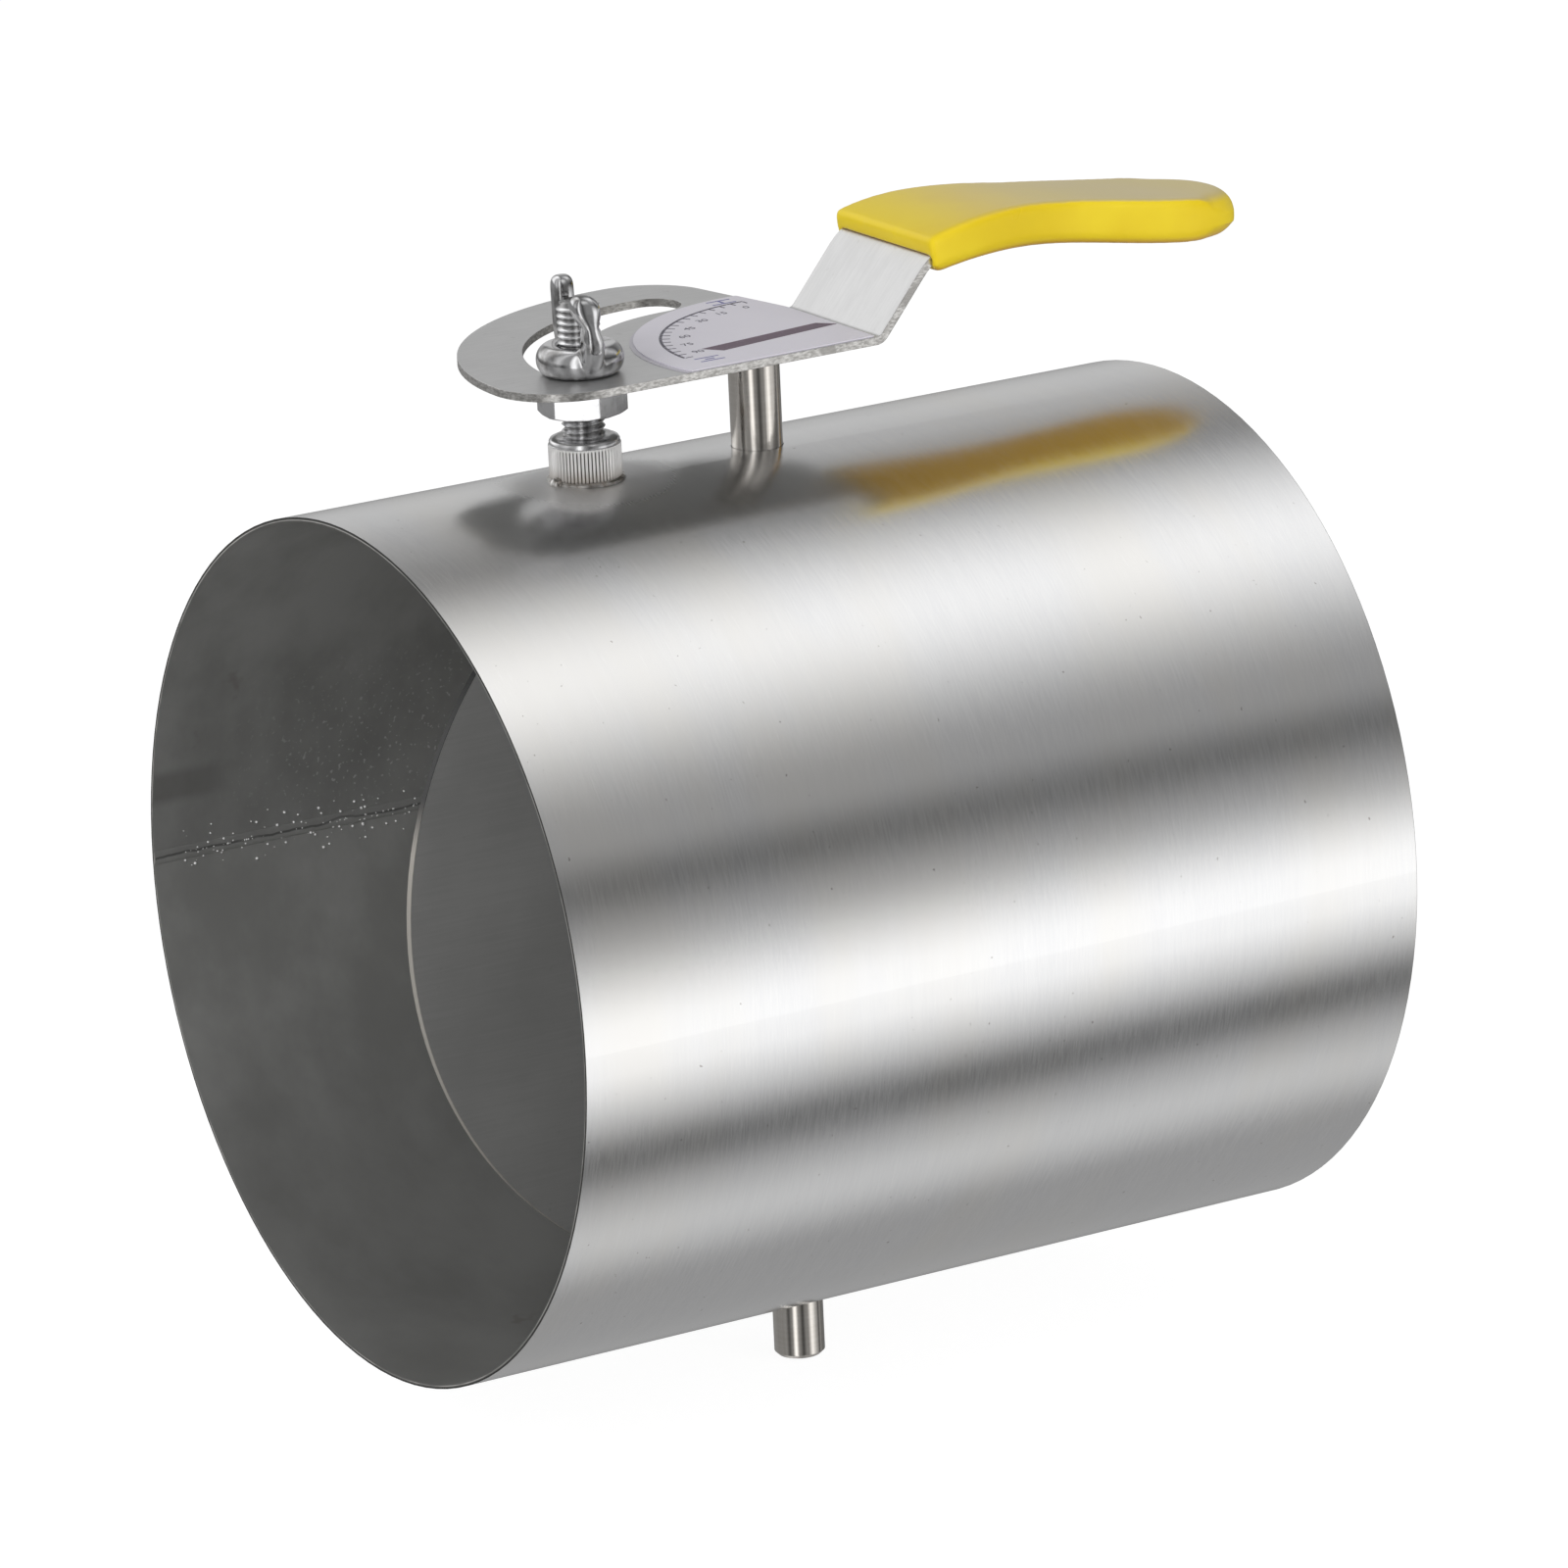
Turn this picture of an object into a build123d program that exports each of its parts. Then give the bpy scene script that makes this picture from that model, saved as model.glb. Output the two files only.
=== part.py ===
from build123d import *
from math import cos, radians, sin, sqrt, tan
import os

# Hand-set butterfly damper for a round duct. The origin is where the pipe's axis (Y) crosses
# the spindle's axis (Z). The lever is above, and its handle points to +Y while the blade is open.
# All sizes are in millimetres and degrees.

# Pipe
pipe_diameter = 160.0
pipe_length = 176.0
pipe_wall = 0.6
seam_width = 2.6
seam_height = 0.35
seam_bearing = 180.0

# Spindle
spindle_diameter = 9.5
spindle_play = 0.1
spindle_foot = 15.2
foot_chamfer = 0.7
spigot_diameter = 6.6
spigot_flats = 5.0
spigot_play = 0.05
spigot_sink = 0.2

# Blade and its two screws
disc_edge_gap = 1.4
disc_thickness = 1.5
slot_play = 0.05
screw_spacing = 76.0
screw_thread = 4.0
screw_play = 0.05
screw_length = 7.9
screw_head_diameter = 6.6
screw_head_height = 2.4
screw_head_round = 0.6
screw_socket = 2.5
screw_socket_depth = 1.3
spot_face_depth = 1.35
spot_face_play = 0.2

# Locking stud, a cap screw welded head down on the crown
stud_radius = 36.2
stud_bearing = -90.0
stud_thread = 8.0
stud_length = 25.0
stud_head_diameter = 13.3
stud_head_height = 8.0
stud_head_chamfer = 0.8
stud_end_chamfer = 0.9
neck_height = 4.2
thread_play = 0.05
weld_leg = 0.5
weld_toe = 0.2
weld_depth = 1.2
weld_blob_radius = 1.3
weld_blob_offset = 0.3
weld_blob_bearing = -80.0

# Nut under the lever
nut_width = 14.3
nut_thickness = 5.8
nut_chamfer = 0.9
nut_turn = -8.0

# Lever, one bent sheet
sheet = 1.5
quadrant_travel = 90.0
slot_width = 11.4
rim_width = 11.9
quadrant_corner = 14.2
fold_y = 18.4
strap_left = -17.6
strap_right = 13.3
fold_radius = 2.3
strap_slope = 50.0
crook_reach = 14.4
crook_radius = 16.0
handle_length = 69.0
handle_droop = 6.4
waist_start_y = 28.6
waist_y = 62.0
waist_narrowing = 5.3
shoulder_y = 89.0
shoulder_narrowing = 4.2

# Grip, a moulded sleeve on the handle
grip_side = 1.3
grip_end = 2.2
grip_lip_y = 29.9
grip_over = 4.3
grip_heel_over = 3.7
grip_heel = 11.0
grip_palm = 32.0
grip_under = 3.9
grip_heel_under = 4.5
grip_lip_rise = -0.4
grip_lip_drop = 7.3
grip_top_fall = 1.3
grip_bottom_rise = 0.3
grip_top_round = 1.0
grip_bottom_round = 2.6

# Dial label and the clear film that shows below it
label_thickness = 0.2
film_thickness = 0.12
label_radius = 36.0
film_radius = 34.6
film_shift = 2.4
dial_x = 4.6
dial_y = 13.9
label_inset = 0.4

# Wing nut
wing_bearing = -12.4
hub_base_radius = 6.7
hub_radius = 8.0
hub_rim_radius = 6.2
hub_height = 5.6
hub_dish = 0.6
wing_thickness = 3.8
wing_reach = 11.0
wing_height = 16.4
wing_top_round = 2.4
wing_edge_round = 1.4

# Worked out from the sizes above
pipe_radius = pipe_diameter / 2
bore_radius = pipe_radius - pipe_wall
disc_radius = bore_radius - disc_edge_gap
quadrant_radius = stud_radius + slot_width / 2 + rim_width
spindle_radius = spindle_diameter / 2
head_top = pipe_radius + stud_head_height
nut_bottom = head_top + neck_height
plate_bottom = nut_bottom + nut_thickness
plate_top = plate_bottom + sheet
plate_middle = plate_bottom + sheet / 2
stud_x = stud_radius * cos(radians(stud_bearing))
stud_y = stud_radius * sin(radians(stud_bearing))
screw_seat = spindle_radius - spot_face_depth
fold_tangent = fold_radius * tan(radians(strap_slope) / 2)
fold_corner_y = fold_y + fold_tangent
crook_y = fold_corner_y + crook_reach
crook_z = plate_middle + crook_reach * tan(radians(strap_slope))
strap_middle = (strap_left + strap_right) / 2
strap_half = (strap_right - strap_left) / 2
handle_end_y = crook_y + handle_length * cos(radians(handle_droop))
handle_end_z = crook_z - handle_length * sin(radians(handle_droop))

stud_foot = Plane(origin=(stud_x, stud_y, pipe_radius))
nut_seat = Plane(origin=(stud_x, stud_y, nut_bottom))
wing_seat = Plane(origin=(stud_x, stud_y, plate_top))
# Side view of the handle: local x runs along it from the crook, local y is across it.
handle_side = Plane(
    origin=(0, crook_y, crook_z),
    x_dir=(0, cos(radians(handle_droop)), -sin(radians(handle_droop))),
    z_dir=(1, 0, 0),
)

os.makedirs("parts", exist_ok=True)


# Upright plane through the stud's axis: local x is the distance from the axis, local y the height.
def stud_section(height):
    return Plane(origin=(stud_x, stud_y, height), x_dir=(1, 0, 0), z_dir=(0, -1, 0))


stud_axis = Axis((stud_x, stud_y, 0), (0, 0, 1))


# Pipe: rolled sheet, butt welded along one side, with the bead left standing inside.
with BuildPart() as duct_pipe:
    with BuildSketch(Plane.XZ):
        Circle(pipe_radius)
        Circle(bore_radius, mode=Mode.SUBTRACT)
        with PolarLocations(bore_radius, 1, start_angle=seam_bearing):
            Ellipse(seam_height, seam_width / 2)
    extrude(amount=pipe_length / 2, both=True)
    Cylinder(spindle_radius + spindle_play, pipe_diameter + seam_width, mode=Mode.SUBTRACT)
duct_pipe.part.label = "duct_pipe"
export_step(duct_pipe.part, "parts/duct_pipe.step")


# Spindle: a round bar, sawn through inside the pipe to take the blade. Its reduced end has two
# flats and is peened over in the lever.
with BuildPart() as spindle:
    with BuildSketch(Plane.XY.offset(-pipe_radius - spindle_foot)):
        Circle(spindle_radius)
    extrude(amount=pipe_radius + spindle_foot + plate_bottom)
    chamfer(spindle.edges().filter_by(GeomType.CIRCLE).sort_by(Axis.Z)[0], length=foot_chamfer)
    with BuildSketch(Plane.XY.offset(plate_bottom)) as spigot_section:
        Circle(spigot_diameter / 2)
        Rectangle(spigot_diameter, spigot_flats, mode=Mode.INTERSECT)
    extrude(amount=sheet - spigot_sink)
    Box(
        disc_thickness + 2 * slot_play,
        spindle_diameter + 2,
        2 * (disc_radius + slot_play),
        mode=Mode.SUBTRACT,
    )
    with Locations(
        Plane(origin=(spindle_radius, 0, screw_spacing / 2), z_dir=(1, 0, 0)),
        Plane(origin=(spindle_radius, 0, -screw_spacing / 2), z_dir=(1, 0, 0)),
    ):
        CounterBoreHole(
            screw_thread / 2 + screw_play,
            screw_head_diameter / 2 + spot_face_play,
            spot_face_depth,
        )
spindle.part.label = "spindle"
export_step(spindle.part, "parts/spindle.step")


# Blade: a plain round sheet disc, a little smaller than the bore. Open, it lies along the pipe.
with BuildPart() as damper_disc:
    with BuildSketch(Plane.YZ.offset(-disc_thickness / 2)):
        Circle(disc_radius)
        with Locations((0, screw_spacing / 2), (0, -screw_spacing / 2)):
            Circle(screw_thread / 2 + screw_play, mode=Mode.SUBTRACT)
    extrude(amount=disc_thickness)
damper_disc.part.label = "damper_disc"
export_step(damper_disc.part, "parts/damper_disc.step")


# Two screws clamp the blade in the sawn spindle. Each head sits on a spot face.
def make_disc_screw(height):
    seat = Plane(origin=(screw_seat, 0, height), z_dir=(1, 0, 0))
    with BuildPart() as screw:
        with BuildSketch(seat):
            Circle(screw_head_diameter / 2)
        extrude(amount=screw_head_height)
        fillet(screw.edges().filter_by(GeomType.CIRCLE).sort_by(Axis.X)[-1], radius=screw_head_round)
        with BuildSketch(seat.offset(screw_head_height)):
            RegularPolygon(screw_socket / 2, 6, major_radius=False)
        extrude(amount=-screw_socket_depth, mode=Mode.SUBTRACT)
        with BuildSketch(seat):
            Circle(screw_thread / 2)
        extrude(amount=-screw_length)
    return screw


for screw_name, screw_height in (
    ("disc_screw_upper", screw_spacing / 2),
    ("disc_screw_lower", -screw_spacing / 2),
):
    disc_screw = make_disc_screw(screw_height)
    disc_screw.part.label = screw_name
    export_step(disc_screw.part, f"parts/{screw_name}.step")


# Outline of the quadrant plate: an outer rim about the spindle, a rounded corner at each end of
# it, drawn in to the fold of the strap.
with BuildSketch() as quadrant:
    with BuildLine():
        CenterArc((0, 0), quadrant_radius, stud_bearing, -quadrant_travel)
        Line((strap_left, fold_y), (strap_right, fold_y))
    with PolarLocations(
        quadrant_radius - quadrant_corner,
        2,
        stud_bearing - quadrant_travel,
        quadrant_travel,
        endpoint=True,
    ):
        Circle(quadrant_corner)
    make_hull()


# Plan of the strap and handle, waisted for the hand, drawn out on all sides by the margin.
def handle_plan(start_y, margin):
    with BuildSketch(Plane.XY.offset(plate_bottom)) as plan:
        with BuildLine():
            right = Spline(
                (strap_right + margin, waist_start_y),
                (strap_right - waist_narrowing + margin, waist_y),
                (strap_right - shoulder_narrowing + margin, shoulder_y),
                tangents=((0, 1), (0, 1)),
            )
            left = Spline(
                (strap_left - margin, waist_start_y),
                (strap_left + waist_narrowing - margin, waist_y),
                (strap_left + shoulder_narrowing - margin, shoulder_y),
                tangents=((0, 1), (0, 1)),
            )
            Spline(
                right @ 1,
                (strap_middle, handle_end_y + margin),
                left @ 1,
                tangents=((0, 1), (0, -1)),
            )
            Polyline(
                right @ 0,
                (strap_right + margin, start_y),
                (strap_left - margin, start_y),
                left @ 0,
            )
        make_face()
    return plan.sketch


# Lever: quadrant, strap and handle bent from one sheet.
with BuildPart() as lever:
    with BuildSketch(Plane.YZ.offset(strap_left)):
        with BuildLine():
            FilletPolyline(
                (fold_y - fold_radius, plate_middle),
                (fold_corner_y, plate_middle),
                (crook_y, crook_z),
                (handle_end_y, handle_end_z),
                radius=[fold_radius, crook_radius],
            )
        trace(line_width=sheet)
    extrude(amount=strap_right - strap_left)
    extrude(handle_plan(fold_y - fold_radius, 0), amount=crook_z, mode=Mode.INTERSECT)
    with BuildSketch(Plane.XY.offset(plate_bottom)):
        add(quadrant.sketch)
        with BuildLine(mode=Mode.PRIVATE) as slot_path:
            CenterArc((0, 0), stud_radius, stud_bearing, -quadrant_travel)
        SlotArc(slot_path.wire(), slot_width, mode=Mode.SUBTRACT)
        with BuildSketch(mode=Mode.PRIVATE) as drive_hole:
            Circle(spigot_diameter / 2 + spigot_play)
            Rectangle(spigot_diameter + 1, spigot_flats + 2 * spigot_play, mode=Mode.INTERSECT)
        add(drive_hole.sketch, mode=Mode.SUBTRACT)
    extrude(amount=sheet)
lever.part.label = "lever"
export_step(lever.part, "parts/lever.step")


# Grip: a thick sleeve with a blind end, slit at its lip for the strap and rounded all over.
with BuildPart() as grip:
    with BuildSketch(handle_side.offset(strap_left - grip_side)):
        with BuildLine():
            over = Spline(
                (grip_lip_y - crook_y, grip_lip_rise),
                (grip_heel, grip_heel_over),
                (grip_palm, grip_over),
                (handle_length + grip_end, grip_over - grip_top_fall),
            )
            under = Spline(
                (grip_lip_y - crook_y + grip_lip_drop / 4, -grip_lip_drop),
                (grip_heel, -grip_heel_under),
                (grip_palm, -grip_under),
                (handle_length + grip_end, grip_bottom_rise - grip_under),
            )
            Line(over @ 0, under @ 0)
            Line(over @ 1, under @ 1)
        make_face()
    extrude(amount=2 * (strap_half + grip_side))
    extrude(handle_plan(fold_y, grip_side), amount=crook_z, mode=Mode.INTERSECT)
    fillet(grip.faces().sort_by(Axis.Z)[-1].edges(), radius=grip_top_round)
    fillet(grip.faces().sort_by(Axis.Z)[0].edges(), radius=grip_bottom_round)
    add(lever.part, mode=Mode.SUBTRACT)
grip.part.label = "grip"
export_step(grip.part, "parts/grip.step")


# Dial label, a thin printed film on the quadrant, and the clear film that shows below its rim.
def make_film(radius, centre_y, lower_face, thickness):
    with BuildPart() as film:
        with BuildSketch(Plane.XY.offset(lower_face)):
            with Locations((dial_x, centre_y)):
                Circle(radius)
            add(offset(quadrant.sketch, -label_inset, mode=Mode.PRIVATE), mode=Mode.INTERSECT)
        extrude(amount=thickness)
    return film


label_backing = make_film(film_radius, dial_y - film_shift, plate_top, film_thickness)
label_backing.part.label = "label_backing"
export_step(label_backing.part, "parts/label_backing.step")
dial_label = make_film(label_radius, dial_y, plate_top + film_thickness, label_thickness)
dial_label.part.label = "dial_label"
export_step(dial_label.part, "parts/dial_label.step")


# Locking stud: knurled head on the crown, threaded shank up through nut, slot and wing nut.
with BuildPart() as lock_stud:
    with BuildSketch(stud_foot):
        Circle(stud_head_diameter / 2)
    extrude(amount=stud_head_height)
    head_rim = lock_stud.edges().filter_by(GeomType.CIRCLE).sort_by(Axis.Z)[-1]
    chamfer(head_rim, length=stud_head_chamfer)
    with BuildSketch(stud_foot.offset(stud_head_height)):
        Circle(stud_thread / 2)
    extrude(amount=stud_length)
    stud_tip = lock_stud.edges().filter_by(GeomType.CIRCLE).sort_by(Axis.Z)[-1]
    chamfer(stud_tip, length=stud_end_chamfer)
lock_stud.part.label = "lock_stud"
export_step(lock_stud.part, "parts/lock_stud.step")


# Weld: a small fillet round the stud's head, down to the pipe, with one larger blob.
with BuildPart() as stud_weld:
    head_radius = stud_head_diameter / 2
    with BuildSketch(stud_section(pipe_radius)):
        with BuildLine():
            Polyline(
                (head_radius, weld_leg),
                (head_radius + weld_leg, weld_toe),
                (head_radius + weld_leg, -weld_depth),
                (head_radius, -weld_depth),
                close=True,
            )
        make_face()
    revolve(axis=stud_axis)
    with Locations(stud_foot):
        with PolarLocations(head_radius + weld_blob_offset, 1, start_angle=weld_blob_bearing):
            Sphere(weld_blob_radius)
    add(lock_stud.part, mode=Mode.SUBTRACT)
    Cylinder(pipe_radius, pipe_length, rotation=(90, 0, 0), mode=Mode.SUBTRACT)
stud_weld.part.label = "stud_weld"
export_step(stud_weld.part, "parts/stud_weld.step")


# Nut: a hexagon with both rims chamfered, locked up against the lever from below.
with BuildPart() as lock_nut:
    with BuildSketch(nut_seat):
        RegularPolygon(nut_width / 2, 6, major_radius=False, rotation=nut_turn)
    extrude(amount=nut_thickness)
    with BuildSketch(stud_section(nut_bottom)):
        nut_corner = nut_width / sqrt(3)
        with BuildLine():
            Polyline(
                (0, 0),
                (nut_corner - nut_chamfer, 0),
                (nut_corner, nut_chamfer / 2),
                (nut_corner, nut_thickness - nut_chamfer / 2),
                (nut_corner - nut_chamfer, nut_thickness),
                (0, nut_thickness),
                close=True,
            )
        make_face()
    revolve(axis=stud_axis, mode=Mode.INTERSECT)
    with Locations(nut_seat):
        Hole(stud_thread / 2 + thread_play)
lock_nut.part.label = "lock_nut"
export_step(lock_nut.part, "parts/lock_nut.step")


# Wing nut: a round bulging hub with a dished top, and two ears that lean outwards.
with BuildPart() as wing_nut:
    wing_side = Plane(
        origin=wing_seat.origin,
        x_dir=(cos(radians(wing_bearing)), sin(radians(wing_bearing)), 0),
        z_dir=(sin(radians(wing_bearing)), -cos(radians(wing_bearing)), 0),
    )
    with BuildSketch(wing_side.offset(-wing_thickness / 2)):
        with BuildLine() as wing_outline:
            foot = Line((stud_thread / 2 + thread_play, 0.5), (hub_radius * 0.9, 0.9))
            outside = Spline(
                foot @ 1,
                (wing_reach - 0.6, wing_height * 0.36),
                (wing_reach, wing_height * 0.72),
                (wing_reach - wing_top_round, wing_height),
                tangents=((1, 0.9), (-1, 0)),
            )
            inside = Spline(
                outside @ 1,
                (hub_rim_radius + 0.2, wing_height * 0.8),
                (hub_rim_radius - 0.7, wing_height * 0.45),
                (stud_thread / 2 + thread_play, hub_height - hub_dish),
                tangents=((-1, 0), (-0.7, -1)),
            )
            Line(inside @ 1, foot @ 0)
        make_face()
    extrude(amount=wing_thickness)
    ear_rims = wing_nut.faces().filter_by(wing_side).edges()
    fillet(ear_rims.filter_by(GeomType.BSPLINE), radius=wing_edge_round)
    mirror(about=Plane(wing_seat.origin, z_dir=wing_side.x_dir))
    with BuildSketch(stud_section(plate_top)):
        with BuildLine():
            base = Line((0, 0), (hub_base_radius, 0))
            bulge = Spline(
                base @ 1,
                (hub_radius, hub_height * 0.42),
                (hub_rim_radius, hub_height),
                tangents=((1, 0.8), (-1, 0.5)),
            )
            Line(bulge @ 1, (0, hub_height - hub_dish))
            Line((0, hub_height - hub_dish), (0, 0))
        make_face()
    revolve(axis=stud_axis)
    with Locations(wing_seat):
        Hole(stud_thread / 2 + thread_play)
wing_nut.part.label = "wing_nut"
export_step(wing_nut.part, "parts/wing_nut.step")
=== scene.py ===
import bmesh
import bpy
from math import cos, pi, radians, sin, tau
from mathutils import Matrix, Vector


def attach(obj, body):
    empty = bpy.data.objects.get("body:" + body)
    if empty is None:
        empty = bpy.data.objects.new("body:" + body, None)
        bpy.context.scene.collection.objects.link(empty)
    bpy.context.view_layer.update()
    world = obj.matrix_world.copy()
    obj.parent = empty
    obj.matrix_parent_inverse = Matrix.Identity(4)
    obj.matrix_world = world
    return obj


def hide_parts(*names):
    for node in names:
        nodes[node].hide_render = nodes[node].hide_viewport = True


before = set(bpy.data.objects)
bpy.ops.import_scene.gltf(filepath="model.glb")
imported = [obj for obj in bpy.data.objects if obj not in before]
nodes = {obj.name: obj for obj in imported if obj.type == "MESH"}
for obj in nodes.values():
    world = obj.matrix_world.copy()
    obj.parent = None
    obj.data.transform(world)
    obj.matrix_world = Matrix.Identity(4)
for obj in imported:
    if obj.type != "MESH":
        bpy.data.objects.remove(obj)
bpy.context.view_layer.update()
mm = 0.001
print("frame loaded:", len(nodes), "nodes")


# Node trees, written as plain sums

class Wire:  # one output of a node: sums with it add Math nodes
    def __init__(self, bench, socket):
        self.bench = bench
        self.socket = socket

    def __add__(self, other):
        return self.bench.sum("ADD", self, other)

    def __sub__(self, other):
        return self.bench.sum("SUBTRACT", self, other)

    def __rsub__(self, other):
        return self.bench.sum("SUBTRACT", other, self)

    def __mul__(self, other):
        return self.bench.sum("MULTIPLY", self, other)

    def __truediv__(self, other):
        return self.bench.sum("DIVIDE", self, other)

    def __pow__(self, other):
        return self.bench.sum("POWER", self, other)

    def __gt__(self, other):
        return self.bench.sum("GREATER_THAN", self, other)

    def __lt__(self, other):
        return self.bench.sum("LESS_THAN", self, other)

    def __abs__(self):
        return self.bench.sum("ABSOLUTE", self)

    __radd__ = __add__
    __rmul__ = __mul__

    def rise(self, low, high):  # 0 at low, 1 at high, soft between; it falls where low is the larger
        return self.bench.node("ShaderNodeMapRange", {"interpolation_type": "SMOOTHSTEP"},
                               {"Value": self, "From Min": low, "From Max": high})["Result"]


class Bench:  # a node tree and the one way to add a node to it
    def __init__(self, tree):
        self.tree = tree

    def node(self, kind, settings=None, inputs=None):
        made = self.tree.nodes.new(kind)
        for name, value in (settings or {}).items():
            setattr(made, name, value)
        live = [socket for socket in made.inputs if socket.enabled]
        for name, value in (inputs or {}).items():
            socket = live[name] if isinstance(name, int) else next(s for s in live if s.name == name)
            if isinstance(value, Wire):
                self.tree.links.new(value.socket, socket)
            elif socket.type == "RGBA" and len(value) == 3:
                socket.default_value = (*value, 1)
            else:
                socket.default_value = value
        return {socket.name: Wire(self, socket) for socket in reversed(made.outputs) if socket.enabled}

    def sum(self, operation, *values):
        return self.node("ShaderNodeMath", {"operation": operation}, dict(enumerate(values)))["Value"]

    def mix(self, factor, first, second):
        return self.node("ShaderNodeMix", {"data_type": "RGBA"},
                         {"Factor": factor, "A": first, "B": second})["Result"]

    def noise(self, vector, scale, detail=2.0, roughness=0.5):  # three scales draw it out into a grain
        if isinstance(scale, tuple):
            vector = self.node("ShaderNodeVectorMath", {"operation": "MULTIPLY"},
                               {0: vector, 1: scale})["Vector"]
            scale = 1.0
        return self.node("ShaderNodeTexNoise", {}, {"Vector": vector, "Scale": scale, "Detail": detail,
                                                    "Roughness": roughness})["Fac"]

    def coordinate(self, kind):
        return self.node("ShaderNodeTexCoord")[kind]

    def axes(self, vector):
        return self.node("ShaderNodeSeparateXYZ", {}, {0: vector})

    def vector(self, **parts):
        return self.node("ShaderNodeCombineXYZ", {}, parts)["Vector"]


def newFinish(name):
    material = bpy.data.materials.new(name)
    material.use_nodes = True
    material.node_tree.nodes.clear()
    return material, Bench(material.node_tree)


def close(bench, colour, rough, metallic, normal=None, **more):  # ends a finish
    inputs = {"Base Color": colour, "Roughness": rough, "Metallic": metallic}
    if normal is not None:
        inputs["Normal"] = normal
    for name, value in more.items():
        inputs[name.replace("_", " ")] = value
    shader = bench.node("ShaderNodeBsdfPrincipled", {}, inputs)["BSDF"]
    bench.node("ShaderNodeOutputMaterial", {}, {"Surface": shader})


def bump(bench, height, strength, distance, normal=None):
    inputs = {"Height": height, "Strength": strength, "Distance": distance}
    if normal is not None:
        inputs["Normal"] = normal
    return bench.node("ShaderNodeBump", {}, inputs)["Normal"]


def softEdge(bench, radius):
    return bench.node("ShaderNodeBevel", {"samples": 4}, {"Radius": radius})["Normal"]


def radiusOf(first, second):  # distance from the line where both are 0
    return (first * first + second * second) ** 0.5


# Finishes

pipeLook = {
    "outer": (0.72, 0.72, 0.72),
    "outerDark": (0.675, 0.675, 0.68),
    "outerWarm": (0.71, 0.695, 0.665),
    "scratch": (0.9, 0.9, 0.9),
    "pit": (0.16, 0.13, 0.11),
    "inner": (0.44, 0.44, 0.43),
    "innerDark": (0.33, 0.33, 0.32),
    "innerLow": (0.16, 0.16, 0.155),
    "stain": (0.12, 0.085, 0.055),
    "rim": (0.58, 0.57, 0.55),
    "rimDark": (0.10, 0.10, 0.095),
    "outerRough": 0.17,
    "innerRough": 0.5,
    "grain": (230, 3000, 230),      # brushed round the pipe
    "wallRadius": 79.7 * mm,        # between the inner and the outer face
    "lipFrom": 79.45 * mm,          # the cut rim darkens across its thickness
    "lipTo": 79.65 * mm,
    "rimPlace": 87.93 * mm,
    "lowFrom": -12 * mm,            # the inner face darkens from here down
    "lowTo": -68 * mm,
    "crownFrom": 68 * mm,           # the crown is a little duller
    "crownTo": 77 * mm,
    "studY": -36.2 * mm,
    "hazeRadius": 19.0 * mm,        # dulled by the weld's heat
}

seamLook = {                        # on the inner left wall, with painted shade above the seam
    "line": (0.05, 0.05, 0.05),
    "shade": (0.10, 0.10, 0.10),
    # painted dark reflection on the left wall near the front rim
    "darkReflection": (0.09, 0.085, 0.075),
    "grit": (0.85, 0.85, 0.85),
    "sway": 4 * mm,
    "halfWidth": 0.36 * mm,
    "core": 0.1 * mm,
    "shadeTop": 46 * mm,
    "darkReflectionHeight": 13.5 * mm,
    "darkReflectionFrom": -66 * mm,
    "darkReflectionTo": -84 * mm,
    "gritFrom": -80 * mm,
    "gritTo": -45 * mm,
    "gritTop": 40 * mm,
}


def outerSteel(bench, place, grain, scratch):
    look = pipeLook
    broad = bench.noise(place, (30, 420, 30))
    warmth = bench.noise(place, (14, 34, 14), detail=3).rise(0.45, 0.7)
    pits = bench.noise(place, 900).rise(0.74, 0.78)
    steel = bench.mix((grain * 0.75 + broad * 0.25).rise(0.3, 0.72), look["outerDark"], look["outer"])
    steel = bench.mix(warmth * 0.6, steel, look["outerWarm"])
    steel = bench.mix(scratch.rise(0.68, 0.76) * 0.15, steel, look["scratch"])
    return bench.mix(pits * 0.5, steel, look["pit"])


def innerSteel(bench, place, mottle, height):
    look = pipeLook
    stain = bench.noise(place, 46, detail=4, roughness=0.7).rise(0.66, 0.74)
    dustAndShade = bench.mix(mottle.rise(0.34, 0.66), look["innerDark"], look["inner"])
    dustAndShade = bench.mix(stain * 0.35, dustAndShade, look["stain"])
    return bench.mix(height.rise(look["lowFrom"], look["lowTo"]) * 0.55, dustAndShade, look["innerLow"])


def seamMarksAndShade(bench, place, axes, dustAndShade):
    look = seamLook
    y, z = axes["Y"], axes["Z"]
    left = axes["X"] < 0.0
    lift = z - (bench.noise(place, (0, 70, 0), detail=3) - 0.5) * look["sway"]
    faint = bench.noise(place, (0, 55, 0)).rise(0.3, 0.55)
    line = abs(lift).rise(look["halfWidth"], look["core"]) * left * (0.25 + faint * 0.6)
    # painted shade: a broad darker band above the seam on the left wall
    shade = lift.rise(-0.2 * mm, 0.5 * mm) * lift.rise(look["shadeTop"], 4 * mm) * left
    # painted dark reflection: a dark band high on the left wall near the front rim
    darkReflection = abs(z - look["darkReflectionHeight"]).rise(4.2 * mm, 1.6 * mm) * left
    darkReflection = darkReflection * y.rise(look["darkReflectionFrom"], look["darkReflectionTo"])
    grit = bench.noise(place, 1300, detail=1).rise(0.66, 0.71) * left
    grit = grit * y.rise(look["gritFrom"], look["gritTo"])
    grit = grit * z.rise(0, 9 * mm) * z.rise(look["gritTop"], 18 * mm)
    dustAndShade = bench.mix(shade * 0.22, dustAndShade, look["shade"])
    dustAndShade = bench.mix(darkReflection * 0.38, dustAndShade, look["darkReflection"])
    dustAndShade = bench.mix(line * 0.8, dustAndShade, look["line"])
    return bench.mix(grit * 0.42, dustAndShade, look["grit"])


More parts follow.
